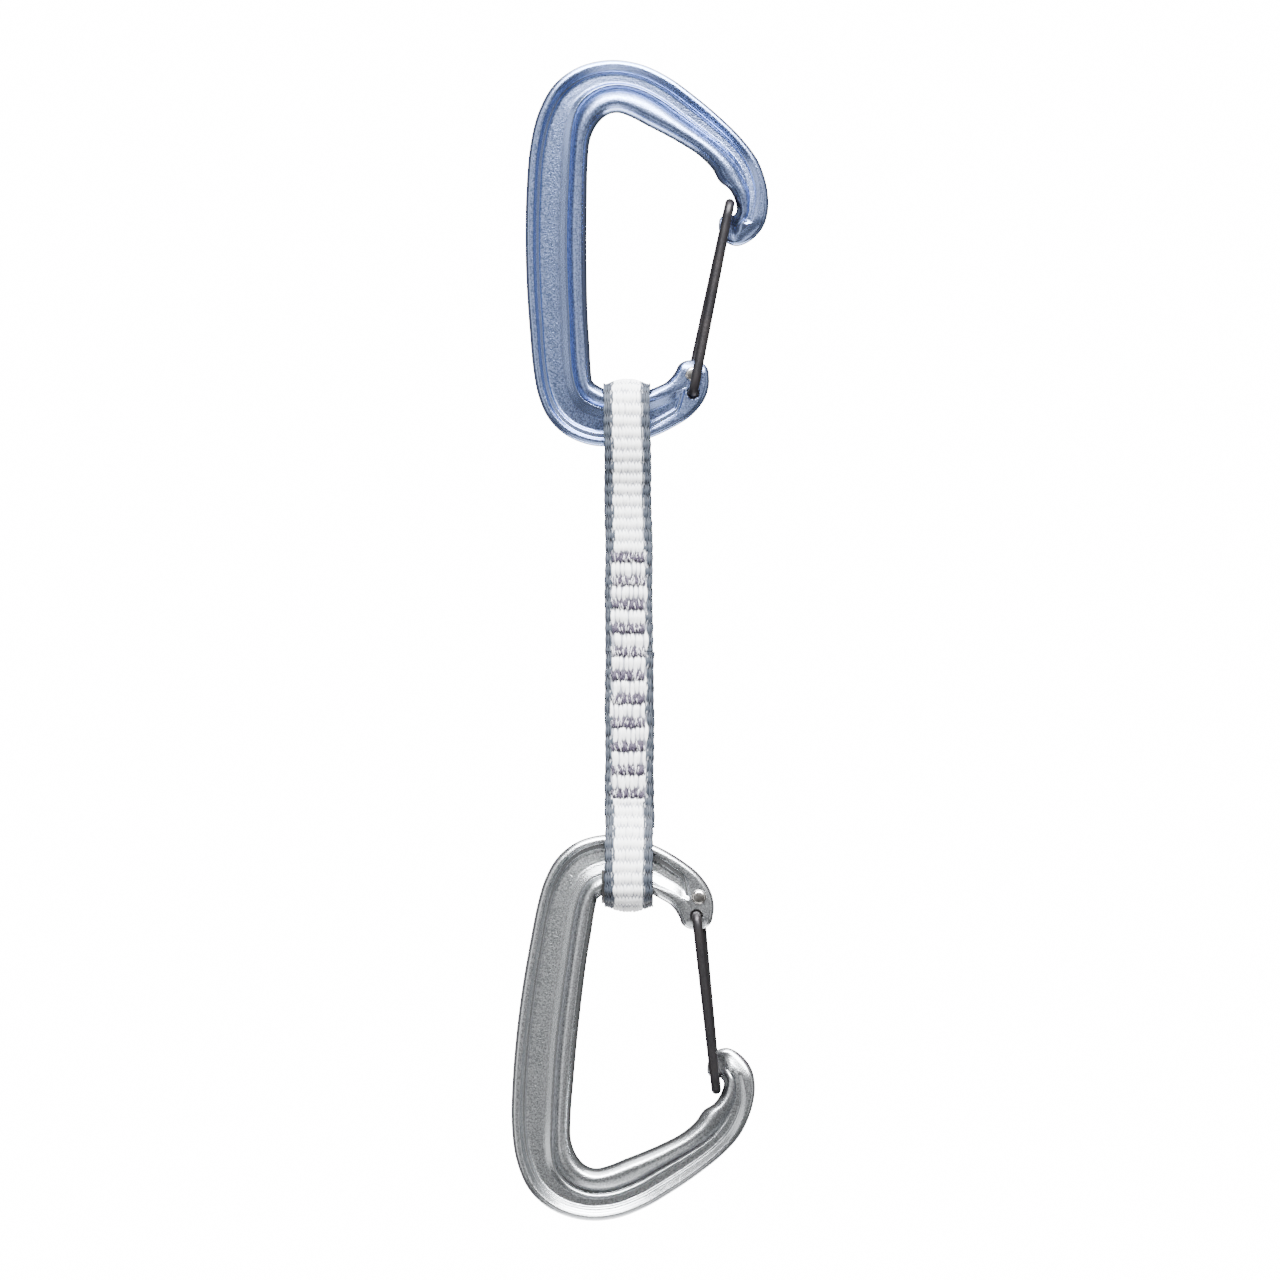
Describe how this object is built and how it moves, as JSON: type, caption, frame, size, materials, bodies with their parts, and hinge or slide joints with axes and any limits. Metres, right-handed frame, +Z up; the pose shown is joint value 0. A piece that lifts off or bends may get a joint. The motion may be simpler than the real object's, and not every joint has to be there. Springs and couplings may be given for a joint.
{
  "type": "climbing quickdraw",
  "caption": "Climbing quickdraw: two wire-gate carabiners joined by a short sewn webbing sling, with a rubber keeper at the rope end.",
  "frame": {"origin": "where the bolt hanger bears inside the crook of the bolt-end carabiner, at mid thickness", "axes": "+Z up as the draw hangs, +X towards the gates, -Y towards the viewer"},
  "size_m": [0.058, 0.015, 0.2617],
  "materials": {
    "anodised_blue": "satin blue anodising over blasted panels, bright polished rims",
    "anodised_grey": "satin silver-grey anodising over blasted panels, bright polished rims",
    "gate_steel": "dark steel wire with bright peened ends",
    "sling_webbing": "woven white webbing with slate-grey edges",
    "tack_thread": "grey and white zigzag thread",
    "keeper_rubber": "matt moulded black rubber"
  },
  "bodies": {
    "bolt_carabiner": {"bolt_end_frame": "anodised_blue"},
    "bolt_gate": {"bolt_end_gate_wire": "gate_steel"},
    "bolt_loop": {"tape_bolt_loop": "sling_webbing"},
    "sling": {"tape_front_run": "sling_webbing", "tape_inner_end": "sling_webbing", "tape_outer_end": "sling_webbing", "bar_tack_01": "tack_thread", "bar_tack_02": "tack_thread", "bar_tack_03": "tack_thread", "bar_tack_04": "tack_thread", "bar_tack_05": "tack_thread", "bar_tack_06": "tack_thread", "bar_tack_07": "tack_thread", "bar_tack_08": "tack_thread", "bar_tack_09": "tack_thread", "bar_tack_10": "tack_thread", "bar_tack_11": "tack_thread"},
    "rope_loop": {"tape_rope_loop": "sling_webbing", "rubber_keeper": "keeper_rubber"},
    "rope_carabiner": {"rope_end_frame": "anodised_grey"},
    "rope_gate": {"rope_end_gate_wire": "gate_steel"}
  },
  "joints": [
    {"name": "bolt_gate_opens", "type": "hinge", "parent": "bolt_carabiner", "child": "bolt_gate", "pos_m": [0.01685, 0, -0.0611], "axis": [0, -1, 0], "range_deg": [0, 28], "stiffness_Nm_per_rad": 0.06, "springref_deg": -28.65},
    {"name": "bolt_loop_slides", "type": "hinge", "parent": "bolt_carabiner", "child": "bolt_loop", "pos_m": [0.00226, 0, -0.0508], "axis": [0, 1, 0], "range_deg": [-10, 10]},
    {"name": "sling_folds_at_bolt_loop", "type": "hinge", "parent": "bolt_loop", "child": "sling", "pos_m": [0.0023, 0, -0.088], "axis": [1, 0, 0], "range_deg": [-80, 80]},
    {"name": "sling_folds_at_rope_loop", "type": "hinge", "parent": "sling", "child": "rope_loop", "pos_m": [0.0023, 0, -0.1582], "axis": [1, 0, 0], "range_deg": [-80, 80]},
    {"name": "rope_carabiner_rocks", "type": "hinge", "parent": "rope_loop", "child": "rope_carabiner", "pos_m": [0.00238, 0, -0.18769], "axis": [0, 1, 0], "range_deg": [-4, 4], "stiffness_Nm_per_rad": 0.6},
    {"name": "rope_gate_opens", "type": "hinge", "parent": "rope_carabiner", "child": "rope_gate", "pos_m": [0.01794, 0, -0.17892], "axis": [0, 1, 0], "range_deg": [0, 28], "stiffness_Nm_per_rad": 0.06, "springref_deg": -28.65}
  ]
}
